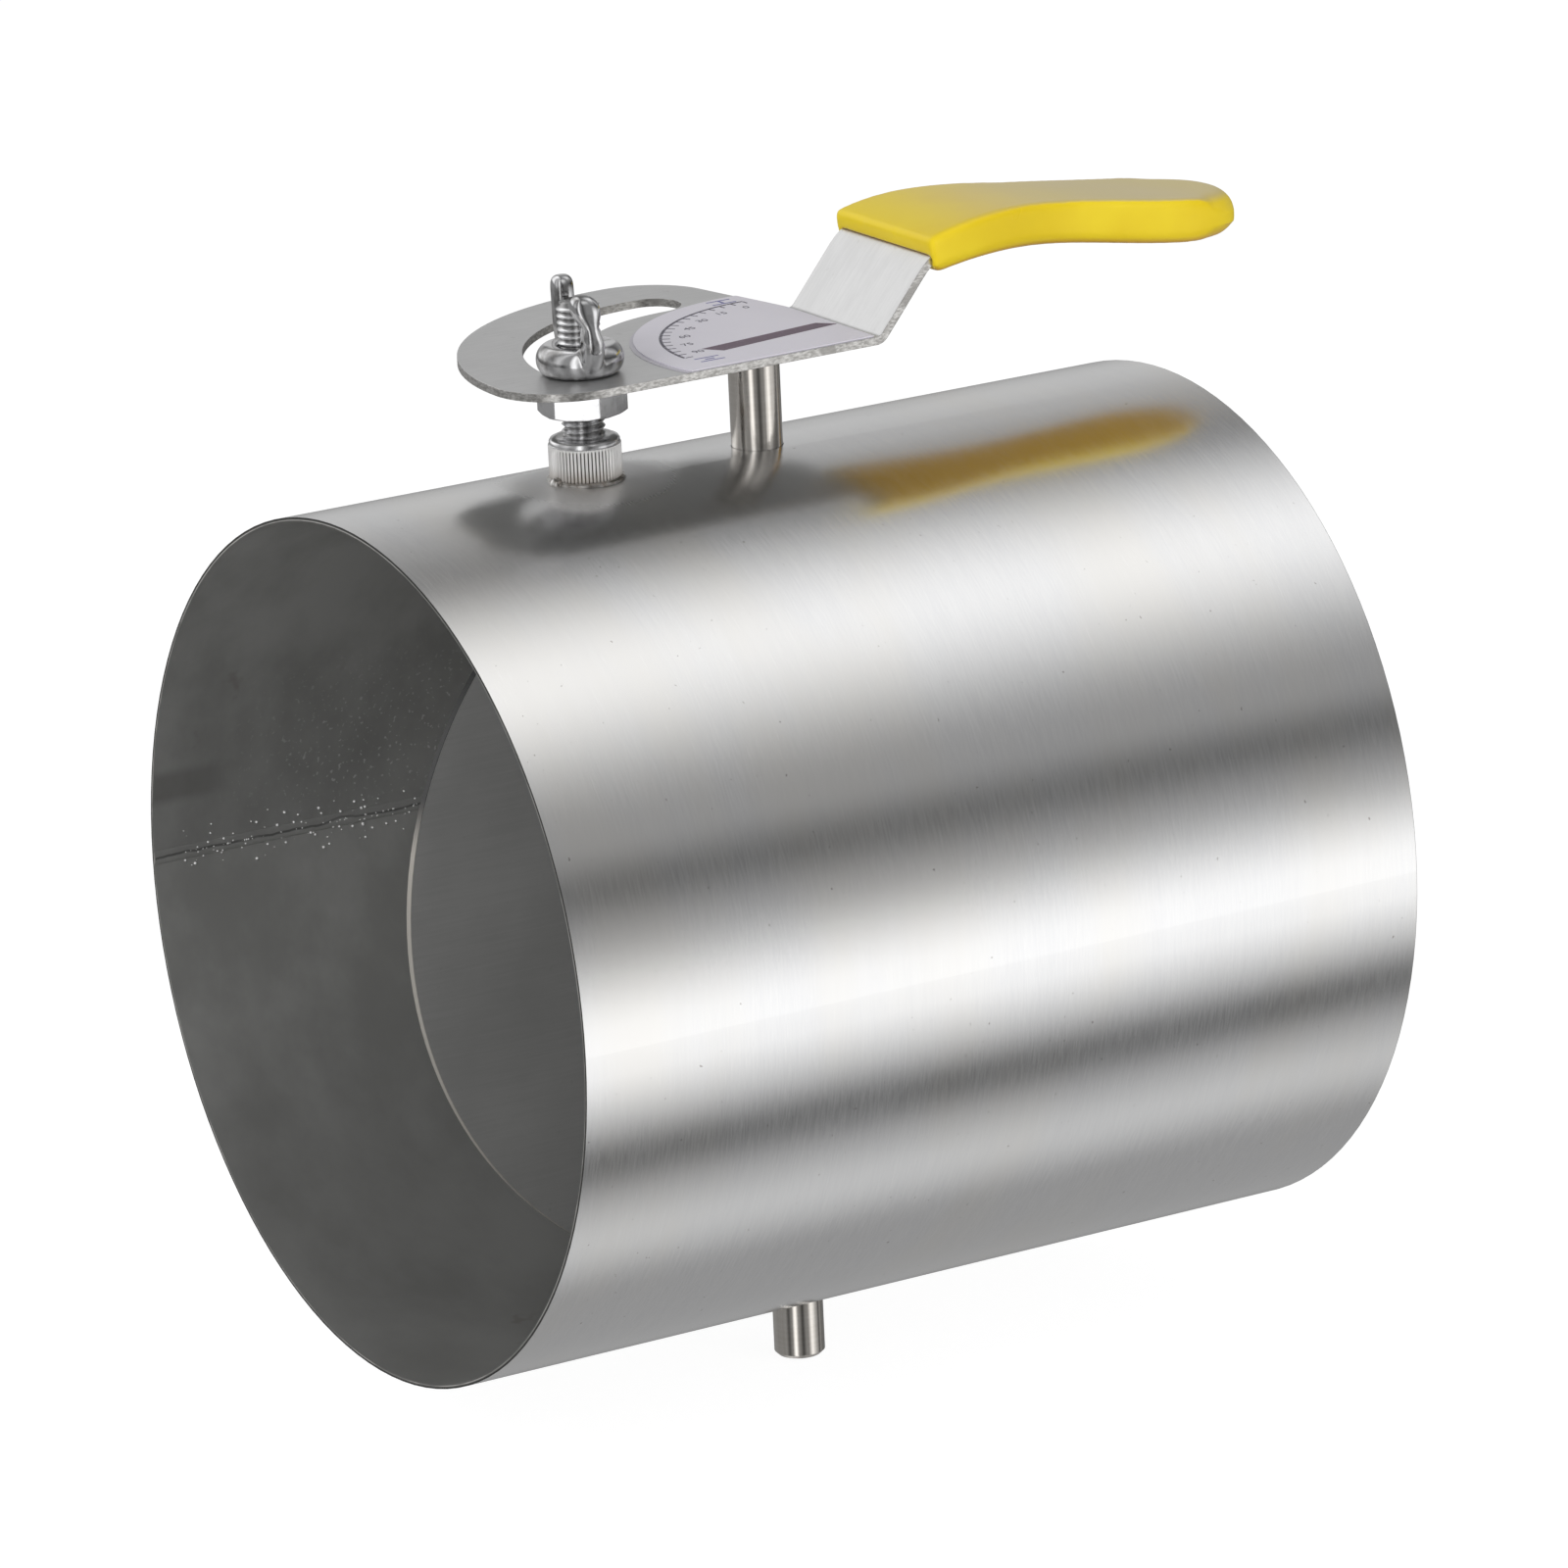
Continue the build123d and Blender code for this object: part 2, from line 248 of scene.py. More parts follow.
def pipeFinish():
    look = pipeLook
    material, bench = newFinish("brushedPipe")
    place = bench.coordinate("Object")
    axes = bench.axes(place)
    x, y, z = axes["X"], axes["Y"], axes["Z"]
    reach = radiusOf(x, z)
    inside = reach < look["wallRadius"]
    grain = bench.noise(place, look["grain"], detail=3)
    scratch = bench.noise(place, (190, 5200, 190), detail=1)
    cloud = bench.noise(place, 30, detail=3)
    mottle = bench.noise(place, (26, 34, 26), detail=5, roughness=0.62)
    worn = bench.noise(place, 120, detail=3).rise(0.4, 0.62)

    dustAndShade = seamMarksAndShade(bench, place, axes, innerSteel(bench, place, mottle, z))
    colour = bench.mix(inside, outerSteel(bench, place, grain, scratch), dustAndShade)
    lip = bench.mix(reach.rise(look["lipFrom"], look["lipTo"]), look["rim"], look["rimDark"])
    lip = bench.mix(worn * 0.55, lip, look["rimDark"])
    colour = bench.mix(abs(y) > look["rimPlace"], colour, lip)

    haze = radiusOf(x, y - look["studY"]).rise(look["hazeRadius"], look["hazeRadius"] * 0.5) * (z > 0.0)
    crown = z.rise(look["crownFrom"], look["crownTo"])
    outerRough = look["outerRough"] + (grain - 0.5) * 0.12 + (cloud - 0.5) * 0.06
    outerRough = outerRough + haze * 0.22 + crown * 0.05
    innerRough = look["innerRough"] + (mottle - 0.5) * 0.2
    rough = outerRough + (innerRough - outerRough) * inside

    height = grain * 0.7 + scratch * 0.3
    normal = bump(bench, height * (1 - inside * 0.8), 0.05, 0.05 * mm)
    close(bench, colour, rough, 1.0 - inside * 0.55, normal)
    return material


barLook = {
    "colour": (0.70, 0.67, 0.63),
    "dark": (0.62, 0.585, 0.54),
    "rough": 0.07,
    "grain": (2400, 2400, 60),      # drawn lengthwise
    "turned": (60, 60, 1500),
}


def barFinish():
    look = barLook
    material, bench = newFinish("drawnBar")
    place = bench.coordinate("Object")
    grain = bench.noise(place, look["grain"], detail=3)
    turned = bench.noise(place, look["turned"])
    colour = bench.mix((grain * 0.6 + turned * 0.4).rise(0.3, 0.7), look["dark"], look["colour"])
    normal = bump(bench, grain, 0.04, 0.05 * mm, softEdge(bench, 0.25 * mm))
    close(bench, colour, look["rough"] + turned * 0.08, 1.0, normal)
    return material


bladeLook = {
    "colour": (0.49, 0.49, 0.485),
    "dark": (0.42, 0.42, 0.415),
    "speck": (0.4, 0.4, 0.39),
    "edge": (0.05, 0.05, 0.05),
    "edgeLow": (0.52, 0.495, 0.45),
    "edgeRadius": 77.9 * mm,
    "edgeFrom": 27 * mm,            # painted shade: the cut edge is near black above this height and pale further down
    "edgeTo": 15 * mm,
    "rough": 0.46,
    "metallic": 0.45,
}


def bladeFinish():
    look = bladeLook
    material, bench = newFinish("bladeSheet")
    place = bench.coordinate("Object")
    axes = bench.axes(place)
    mottle = bench.noise(place, 30, detail=5, roughness=0.6)
    grain = bench.noise(place, (50, 60, 1800))
    specks = bench.noise(place, 700, detail=1).rise(0.76, 0.8)
    colour = bench.mix((mottle * 0.7 + grain * 0.3).rise(0.32, 0.68), look["dark"], look["colour"])
    colour = bench.mix(specks * 0.6, colour, look["speck"])
    # painted shade: the upper cut edge is near black
    edge = bench.mix(axes["Z"].rise(look["edgeFrom"], look["edgeTo"]), look["edge"], look["edgeLow"])
    colour = bench.mix(radiusOf(axes["Y"], axes["Z"]) > look["edgeRadius"], colour, edge)
    rough = look["rough"] + (mottle - 0.5) * 0.2
    close(bench, colour, rough, look["metallic"], bump(bench, grain, 0.08, 0.05 * mm))
    return material


leverLook = {
    "colour": (0.61, 0.61, 0.61),
    "dark": (0.54, 0.54, 0.54),
    # painted shade on the downward faces
    "under": (0.42, 0.42, 0.41),
    "nick": (0.4, 0.39, 0.38),
    "edgeDark": (0.33, 0.32, 0.305),
    "edgeLight": (0.68, 0.67, 0.65),
    "rough": 0.34,
    "metallic": 0.85,
    "grain": (1500, 130, 130),      # brushed along the handle
    "torn": (1200, 900, 2400),      # the sheared rim of the sheet
}


def leverFinish():
    look = leverLook
    material, bench = newFinish("brushedSheet")
    place = bench.coordinate("Object")
    upright = bench.axes(bench.coordinate("Normal"))["Z"]
    edge = abs(upright).rise(0.45, 0.2)
    grain = bench.noise(place, look["grain"], detail=3)
    cloud = bench.noise(place, 90, detail=5, roughness=0.6)
    torn = bench.noise(place, look["torn"], detail=3, roughness=0.6).rise(0.3, 0.7)
    dent = bench.noise(place, 170).rise(0.62, 0.7)
    nicks = bench.noise(place, 420).rise(0.7, 0.76)
    colour = bench.mix((grain * 0.4 + cloud * 0.6).rise(0.34, 0.66), look["dark"], look["colour"])
    # painted shade: the downward faces are darker
    colour = bench.mix(upright.rise(-0.5, -0.9), colour, look["under"])
    colour = bench.mix(nicks * 0.3, colour, look["nick"])
    sheared = bench.mix(torn * (1 - dent * 0.8), look["edgeDark"], look["edgeLight"])
    colour = bench.mix(edge, colour, sheared)
    height = grain * 0.4 + nicks * 0.3 + torn * edge
    normal = bump(bench, height, 0.1, 0.05 * mm, softEdge(bench, 0.22 * mm))
    close(bench, colour, look["rough"] + (cloud - 0.5) * 0.14, look["metallic"], normal)
    return material


gripLook = {
    "colour": (0.97, 0.74, 0.022),
    "deep": (0.91, 0.66, 0.015),
    "mark": (0.75, 0.62, 0.25),
    "topSheen": (0.62, 0.53, 0.33),   # painted sheen: pale grey on the upward faces along this stretch, as an overhead lamp's reflection
    "topSheenFrom": 30 * mm,
    "topSheenTo": 75 * mm,
    # painted shade on the downward faces
    "below": (0.80, 0.46, 0.03),
    "rough": 0.3,
    "shine": 0.3,
}


def gripFinish():
    look = gripLook
    material, bench = newFinish("dippedYellow")
    place = bench.coordinate("Object")
    upright = bench.axes(bench.coordinate("Normal"))["Z"]
    along = bench.axes(place)["Y"]
    cloud = bench.noise(place, 45, detail=3)
    fine = bench.noise(place, 900)
    marks = bench.noise(place, (300, 40, 300)).rise(0.68, 0.75)
    colour = bench.mix(cloud.rise(0.35, 0.7), look["deep"], look["colour"])
    colour = bench.mix(marks * 0.15, colour, look["mark"])
    # painted sheen of an overhead lamp on the upward faces
    topSheen = upright.rise(0.6, 0.98) * along.rise(look["topSheenFrom"], look["topSheenTo"])
    colour = bench.mix(topSheen * 0.7, colour, look["topSheen"])
    # painted shade: the downward faces are a deeper orange
    colour = bench.mix(upright.rise(-0.4, -0.9), colour, look["below"])
    close(bench, colour, look["rough"] + (cloud - 0.5) * 0.16, 0.0, bump(bench, fine, 0.06, 0.1 * mm),
          Specular_IOR_Level=look["shine"])
    return material


labelLook = {"colour": (0.80, 0.775, 0.85), "shade": (0.755, 0.73, 0.81), "rough": 0.3}


def tinted(colour, tint):
    return tuple(part * tint for part in colour)


def labelFinish(name, tint):
    look = labelLook
    material, bench = newFinish(name)
    place = bench.coordinate("Object")
    cloud = bench.noise(place, 70)
    fine = bench.noise(place, 1200, detail=1)
    colour = bench.mix(cloud, tinted(look["shade"], tint), tinted(look["colour"], tint))
    close(bench, colour, look["rough"] + fine * 0.1, 0.0, bump(bench, cloud, 0.1, 0.2 * mm))
    return material


def printFinish(name, colour, fade):
    material, bench = newFinish(name)
    worn = bench.noise(bench.coordinate("Object"), 1500).rise(0.55, 0.75)
    close(bench, bench.mix(worn * fade, colour, labelLook["colour"]), 0.4 + worn * 0.1, 0.0)
    return material


studSizes = {
    "centre": (0.0, -36.2 * mm),
    "foot": 80.0 * mm,
    "headRadius": 6.65 * mm,
    "headTop": 88.0 * mm,
    "headChamfer": 0.5 * mm,
    "ringBottom": 86.5 * mm,        # plain ring above the knurl
    "ringRadius": 6.45 * mm,
    "teeth": 58,
    "toothDepth": 0.5 * mm,
    "shankRadius": 3.98 * mm,
    "shankTop": 113.0 * mm,
    "tipHeight": 0.9 * mm,
    "pitch": 1.25 * mm,
    "threadDepth": 0.62 * mm,
}

plateLook = {
    "colour": (0.72, 0.72, 0.73),
    "dark": (0.20, 0.195, 0.19),
    # painted shade in the knurl grooves, painted highlight on the tooth crests
    "groove": (0.07, 0.065, 0.06),
    "toothGlint": (0.95, 0.94, 0.93),
    # painted shade in the thread roots
    "threadRootShade": (0.12, 0.115, 0.11),
    "browned": (0.30, 0.23, 0.16),
    "brownedHeight": 3.5 * mm,
    "studRough": 0.13,
}


def plating(bench, place, tint, patches):  # patches: how strong its darker spots are
    look = plateLook
    cloud = bench.noise(place, 260, detail=3)
    fine = bench.noise(place, 1500)
    colour = bench.mix(cloud.rise(0.42, 0.68) * patches, tinted(look["colour"], tint), look["dark"])
    normal = bump(bench, cloud * 0.8 + fine * 0.2, 0.12, 0.12 * mm, softEdge(bench, 0.3 * mm))
    return cloud, colour, normal


def plateFinish(name, rough, tint=1.0, patches=0.25):
    material, bench = newFinish(name)
    cloud, colour, normal = plating(bench, bench.coordinate("Object"), tint, patches)
    close(bench, colour, rough + cloud * 0.1, 1.0, normal)
    return material


def studFinish():  # painted shade in the grooves and thread roots, painted highlight on the teeth, and a foot browned by the weld
    look, size = plateLook, studSizes
    material, bench = newFinish("studSteel")
    place = bench.coordinate("Object")
    cloud, colour, normal = plating(bench, place, 1.0, 0.25)
    axes = bench.axes(place)
    height = axes["Z"]
    reach = radiusOf(axes["X"], axes["Y"] - size["centre"][1])
    shank = height > size["headTop"]
    head = (height < size["ringBottom"]) * (reach > size["headRadius"] * 0.9)
    toothGlint = reach.rise(size["headRadius"] - 0.46 * mm, size["headRadius"] - 0.26 * mm)
    crest = reach.rise(size["shankRadius"] - size["threadDepth"], size["shankRadius"] - 0.3 * mm)
    # painted shade in the grooves and painted highlight on the tooth crests, which are less metallic to
    # catch the lamp
    colour = bench.mix(head, colour, bench.mix(toothGlint, look["groove"], look["toothGlint"]))
    # painted shade: the thread roots are near black
    colour = bench.mix(shank * (1 - crest) * 0.7, colour, look["threadRootShade"])
    warm = height.rise(size["foot"] + look["brownedHeight"], size["foot"]) * (0.5 + cloud * 0.6)
    colour = bench.mix(warm * 0.6, colour, look["browned"])
    rough = look["studRough"] + cloud * 0.1 + head * 0.12
    close(bench, colour, rough, 1.0 - head * toothGlint * 0.65, normal)
    return material


# the spatter beads are near white as a painted glint
weldLook = {"dark": (0.36, 0.33, 0.30), "pale": (0.66, 0.65, 0.63), "bead": (0.98, 0.98, 0.97)}


def weldFinish():
    material, bench = newFinish("weldMetal")
    lumps = bench.noise(bench.coordinate("Object"), 700, detail=3)
    colour = bench.mix(lumps.rise(0.35, 0.65), weldLook["dark"], weldLook["pale"])
    close(bench, colour, 0.2 + lumps * 0.2, 1.0, bump(bench, lumps, 0.25, 0.2 * mm))
    return material


# spatter beads coloured near white as a painted glint
def beadFinish():
    material, bench = newFinish("spatterBeadGlint")
    close(bench, weldLook["bead"], 0.2, 0.1)
    return material


finishes = {
    "pipe": pipeFinish(),
    "bar": barFinish(),
    "blade": bladeFinish(),
    "lever": leverFinish(),
    "grip": gripFinish(),
    "label": labelFinish("labelFilm", 1.0),
    "backing": labelFinish("backingFilm", 0.72),
    "stud": studFinish(),
    "nut": plateFinish("nutPlating", 0.06),
    "wing": plateFinish("wingPlating", 0.05, tint=0.85, patches=0.85),
    "screw": plateFinish("screwSteel", 0.24),
    "weld": weldFinish(),
    "bead": beadFinish(),
    "scale": printFinish("scalePrint", (0.035, 0.03, 0.06), 0.5),
    "pointer": printFinish("pointerPrint", (0.085, 0.04, 0.075), 0.15),
    "signs": printFinish("signPrint", (0.10, 0.10, 0.32), 0.4),
}
print("finishes:", len(finishes))

dressing = {
    "duct_pipe": "pipe",
    "spindle": "bar",
    "damper_disc": "blade",
    "disc_screw_upper": "screw",
    "disc_screw_lower": "screw",
    "lever": "lever",
    "dial_label": "label",
    "label_backing": "backing",
    "stud_weld": "weld",
    "lock_nut": "nut",
}


def dress(name, finish):
    piece = nodes[name]
    if not piece.material_slots:
        piece.data.materials.append(finish)
    for slot in piece.material_slots:
        slot.material = finish


for name, finish in dressing.items():
    dress(name, finishes[finish])


# Ways to make a piece

def newPiece(name, mesh, finish, body, smooth=True):
    mesh.name = name
    mesh.materials.clear()
    mesh.materials.append(finish)
    for face in mesh.polygons:
        face.use_smooth = smooth
        face.material_index = 0
    piece = placed(name, mesh)
    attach(piece, body)
    return piece


def placed(name, data):
    work = bpy.data.objects.new(name, data)
    bpy.context.scene.collection.objects.link(work)
    return work


def baked(work):  # the evaluated object as a plain mesh; the helper goes, and its modifiers with it
    bpy.context.view_layer.update()
    grown = work.evaluated_get(bpy.context.evaluated_depsgraph_get())
    mesh = bpy.data.meshes.new_from_object(grown)
    bpy.data.objects.remove(work)
    return mesh


def finished(shape, name):
    mesh = bpy.data.meshes.new(name)
    shape.to_mesh(mesh)
    shape.free()
    return mesh


def joined(name, meshes):
    shape = bmesh.new()
    for mesh in meshes:
        shape.from_mesh(mesh)
    return finished(shape, name)


def softCopy(name, voxel, rounds):  # a CAD node's shape with every edge run soft, as cast or dipped
    mesh = nodes[name].data.copy()
    shape = bmesh.new()
    shape.from_mesh(mesh)
    bmesh.ops.remove_doubles(shape, verts=shape.verts, dist=1e-6)
    shape.to_mesh(mesh)
    shape.free()
    work = placed(name + "_work", mesh)
    skin = work.modifiers.new("skin", "REMESH")
    skin.mode = "VOXEL"
    skin.voxel_size = voxel
    soften = work.modifiers.new("soften", "SMOOTH")
    soften.factor = 0.5
    soften.iterations = rounds
    return baked(work)


def turned(name, profile, steps, centre):  # a closed shape of revolution from (radius, height) pairs
    shape = bmesh.new()
    rings = []
    for radius, height in profile:
        angles = [tau * i / steps for i in range(steps)] if radius > 0 else [0]
        rings.append([shape.verts.new((centre[0] + radius * cos(a), centre[1] + radius * sin(a), height))
                      for a in angles])
    for low, high in zip(rings, rings[1:]):
        for i in range(steps):
            j = (i + 1) % steps
            if len(low) == 1:
                shape.faces.new((low[0], high[j], high[i]))
            elif len(high) == 1:
                shape.faces.new((low[i], low[j], high[0]))
            else:
                shape.faces.new((low[i], low[j], high[j], high[i]))
    bmesh.ops.recalc_face_normals(shape, faces=shape.faces)
    return finished(shape, name)


def geometryTree(name, inputs):
    tree = bpy.data.node_groups.new(name, "GeometryNodeTree")
    tree.interface.new_socket("Geometry", in_out="INPUT", socket_type="NodeSocketGeometry")
    for label, value in inputs.items():
        kind = "NodeSocketInt" if isinstance(value, int) else "NodeSocketFloat"
        tree.interface.new_socket(label, in_out="INPUT", socket_type=kind)
    tree.interface.new_socket("Geometry", in_out="OUTPUT", socket_type="NodeSocketGeometry")
    bench = Bench(tree)
    return bench, bench.node("NodeGroupInput")


def grow(work, bench, inputs, finish, result):  # ends the tree, sets the inputs and runs it
    real = bench.node("GeometryNodeRealizeInstances", {}, {"Geometry": result})["Geometry"]
    painted = bench.node("GeometryNodeSetMaterial", {}, {"Geometry": real, "Material": finish})["Geometry"]
    bench.node("NodeGroupOutput", {}, {"Geometry": painted})
    modifier = work.modifiers.new("grow", "NODES")
    modifier.node_group = bench.tree
    sockets = {item.name: item.identifier for item in bench.tree.interface.items_tree
               if item.in_out == "INPUT"}
    for label, value in inputs.items():
        modifier[sockets[label]] = value
    return baked(work)


# Locking stud: knurled head and a full thread

def polar(bench, centre):
    axes = bench.axes(bench.node("GeometryNodeInputPosition")["Position"])
    across = axes["X"] - centre[0]
    along = axes["Y"] - centre[1]
    turn = bench.sum("ARCTAN2", along, across) / tau
    return across, along, axes["Z"], turn, radiusOf(across, along)


def sawtooth(bench, value):  # 0 in the middle of each step, 0.5 at its ends
    return abs(bench.sum("FRACT", value) - 0.5)


def pushIn(bench, geometry, across, along, reach, depth):
    outward = bench.vector(X=across / (reach + 1e-6), Y=along / (reach + 1e-6))
    shift = bench.node("ShaderNodeVectorMath", {"operation": "SCALE"},
                       {"Vector": outward, "Scale": depth * -1})["Vector"]
    return bench.node("GeometryNodeSetPosition", {}, {"Geometry": geometry, "Offset": shift})["Geometry"]


def knurl(work, finish):
    size = studSizes
    inputs = {"Teeth": size["teeth"], "Tooth depth": size["toothDepth"]}
    bench, entry = geometryTree("knurl", inputs)
    across, along, height, turn, reach = polar(bench, size["centre"])
    wave = sawtooth(bench, turn * entry["Teeth"]) * 2
    band = height.rise(size["ringBottom"] + 0.1 * mm, size["ringBottom"] - 0.3 * mm)
    band = band * height.rise(size["foot"] + 0.1 * mm, size["foot"] + 0.6 * mm)
    depth = wave * band * entry["Tooth depth"] * (reach > size["headRadius"] * 0.9)
    return grow(work, bench, inputs, finish, pushIn(bench, entry["Geometry"], across, along, reach, depth))


def cutThread(work, finish):
    size = studSizes
    inputs = {"Pitch": size["pitch"], "Thread depth": size["threadDepth"]}
    bench, entry = geometryTree("thread", inputs)
    across, along, height, turn, reach = polar(bench, size["centre"])
    groove = bench.sum("MINIMUM", sawtooth(bench, height / entry["Pitch"] - turn) * 2.3, 1.0)
    depth = groove * entry["Thread depth"] * (reach > size["shankRadius"] * 0.7)
    return grow(work, bench, inputs, finish, pushIn(bench, entry["Geometry"], across, along, reach, depth))


def rows(radius, low, high, count):  # a straight wall with enough rings to take the cut
    return [(radius, low + (high - low) * i / count) for i in range(count + 1)]


def makeStud():
    size = studSizes
    chamfer, ring, top = size["headChamfer"], size["ringRadius"], size["headTop"]
    shank, tip = size["shankRadius"], size["shankTop"]
    head = [(0, size["foot"]), (size["headRadius"] - chamfer, size["foot"])]
    head += rows(size["headRadius"], size["foot"] + chamfer, size["ringBottom"], 10)
    head += [(ring, size["ringBottom"] + 0.15 * mm), (ring, top - 0.8 * mm),
             (ring - 0.25 * mm, top - 0.4 * mm), (ring - 1.0 * mm, top - 0.05 * mm),
             (ring - 1.5 * mm, top), (0, top)]
    rod = [(0, top - 0.5 * mm)] + rows(shank, top - 0.5 * mm, tip - size["tipHeight"], 200)
    rod += [(shank - 0.55 * mm, tip - 0.35 * mm), (shank - 0.95 * mm, tip), (0, tip)]
    headMesh = turned("head", head, size["teeth"] * 6, size["centre"])
    rodMesh = turned("shank", rod, 72, size["centre"])
    mesh = joined("locking_stud", [knurl(placed("head", headMesh), finishes["stud"]),
                                   cutThread(placed("shank", rodMesh), finishes["stud"])])
    stud = newPiece("locking_stud", mesh, finishes["stud"], "housing")
    mesh.set_sharp_from_angle(angle=radians(38))
    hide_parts("lock_stud")


makeStud()
print("stud done")


# Cast wing nut

def clamp(value):
    return min(max(value, 0.0), 1.0)


def hump(value, middle, half):  # 1 in the middle, 0 past the half width, soft between
    part = clamp(1 - abs(value - middle) / half)
    return part ** 2 * (3 - 2 * part)


wingSizes = {
    "voxel": 0.22 * mm,
    "rounds": 20,
    "bearing": -12.4,
    "earFoot": 0.42,                # places up the nut, as shares of its height
    "neckPlace": 0.6,
    "neckHalf": 0.18,
    "neckPinch": 0.2,
    "knobPlace": 0.84,
    "knobHalf": 0.22,
    "knobSwell": 0.36,
    "lean": 1.9 * mm,
}


def shapeEar(mesh):  # the near ear leans, with a neck under the knob at its tip
    size = wingSizes
    low = min(vertex.co.z for vertex in mesh.vertices)
    high = max(vertex.co.z for vertex in mesh.vertices)
    turn = radians(size["bearing"])
    outward = Vector((cos(turn), sin(turn), 0))
    across = Vector((-sin(turn), cos(turn), 0))
    centre = Vector((*studSizes["centre"], 0))
    for vertex in mesh.vertices:
        way = (vertex.co.z - low) / (high - low)
        spot = vertex.co - centre
        if way < size["earFoot"] or spot.dot(outward) < 0:
            continue
        swell = (size["knobSwell"] * hump(way, size["knobPlace"], size["knobHalf"])
                 - size["neckPinch"] * hump(way, size["neckPlace"], size["neckHalf"]))
        lean = size["lean"] * (way - size["earFoot"]) / (1 - size["earFoot"])
        vertex.co += across * (spot.dot(across) * swell - lean)


def makeWingNut():
    mesh = softCopy("wing_nut", wingSizes["voxel"], wingSizes["rounds"])
    shapeEar(mesh)
    nut = newPiece("wing_nut_cast", mesh, finishes["wing"], "wing_nut")
    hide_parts("wing_nut")


makeWingNut()


# Dipped grip

gripSizes = {
    "voxel": 0.4 * mm,
    "rounds": 22,
    "middle": 109.35 * mm,          # height of the handle's sheet where the nose starts
    "droop": 0.1122,                # its fall from there, in mm a mm
    "core": 1.2 * mm,               # this much each side of the sheet keeps its place
    "backRise": 1.7 * mm,
    "backStart": 62 * mm,
    "backLength": 38 * mm,
    "noseX": -2.15 * mm,
    "noseY": 90 * mm,
    "noseHalf": 12.9 * mm,
    "noseLength": 15.0 * mm,
    "noseBlend": 5 * mm,
    "noseRim": 0.66,                # share of the nose's reach where it starts to run round
    "noseRounds": 8,
}


def shapeNose(mesh):  # the sleeve's back rises and its blind end runs round, as dipped
    size = gripSizes
    for vertex in mesh.vertices:
        spot = vertex.co
        level = size["middle"] - size["droop"] * (spot.y - size["noseY"])
        lift = spot.z - level
        if abs(lift) < size["core"]:
            continue
        if lift > 0:
            lift += size["backRise"] * clamp((spot.y - size["backStart"]) / size["backLength"])
        across = (spot.x - size["noseX"]) / size["noseHalf"]
        along = max(spot.y - size["noseY"], 0.0)
        ring = (across ** 2 + (along / size["noseLength"]) ** 2) ** 0.5
        way = clamp((ring - size["noseRim"]) / (1 - size["noseRim"])) * clamp(along / size["noseBlend"])
        skin = (abs(lift) - size["core"]) * (1 - way ** 2) ** 0.5
        spot.z = level + (size["core"] + skin) * (1 if lift > 0 else -1)
    shape = bmesh.new()
    shape.from_mesh(mesh)
    nose = [vertex for vertex in shape.verts if vertex.co.y > size["noseY"]]
    for _ in range(size["noseRounds"]):
        bmesh.ops.smooth_vert(shape, verts=nose, factor=0.5,
                              use_axis_x=True, use_axis_y=True, use_axis_z=True)
    shape.to_mesh(mesh)
    shape.free()


def makeGrip():
    mesh = softCopy("grip", gripSizes["voxel"], gripSizes["rounds"])
    shapeNose(mesh)
    sleeve = newPiece("grip_sleeve", mesh, finishes["grip"], "vane")
    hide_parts("grip")


makeGrip()
print("wing nut and grip done")


# Dial print on the label

dialSizes = {                       # places and sizes in mm, bearings in degrees
    "centre": (4.6, 13.9),          # of the quarter arc
    "low": 99.82,                   # between these heights lies all the ink
    "high": 99.845,
    "tickRadius": 30.0,
    "tickLength": 1.5,
    "tickWidth": 0.35,
    "ticks": 19,
    "arcRadius": 31.0,
    "arcWidth": 0.55,
    "arcSteps": 48,
    "numbers": ("0", "15", "30", "45", "60", "75", "90"),
    "numberRadius": 26.6,
    "numberSize": 2.4,
    "numberFrom": 184,
    "numberSweep": 80,
    "pointer": ((-2.6, 15.2), (0.6, 17.8), (4.3, -8.6), (0.6, -11.2)),
    "signs": ((7.9, -13.8, 90), (-28.5, 10.6, 0)),      # open and shut: a vane in a duct
}


def inked(outline):  # a flat printed shape, as thick as the ink
    shape = bmesh.new()
    bottom = [shape.verts.new((x * mm, y * mm, dialSizes["low"] * mm)) for x, y in outline]
    top = [shape.verts.new((x * mm, y * mm, dialSizes["high"] * mm)) for x, y in outline]
    shape.faces.new(top)
    shape.faces.new(list(reversed(bottom)))
    for i in range(len(outline)):
        j = (i + 1) % len(outline)
        shape.faces.new((bottom[i], bottom[j], top[j], top[i]))
    bmesh.ops.recalc_face_normals(shape, faces=shape.faces)
    return finished(shape, "inked")


def onDial(radius, bearing):
    turn = radians(bearing)
    return dialSizes["centre"][0] + radius * cos(turn), dialSizes["centre"][1] + radius * sin(turn)


def dialArc():
    size = dialSizes
    half = size["arcWidth"] / 2
    bearings = [180 + 90 * i / size["arcSteps"] for i in range(size["arcSteps"] + 1)]
    return inked([onDial(size["arcRadius"] + half, bearing) for bearing in bearings]
                 + [onDial(size["arcRadius"] - half, bearing) for bearing in reversed(bearings)])


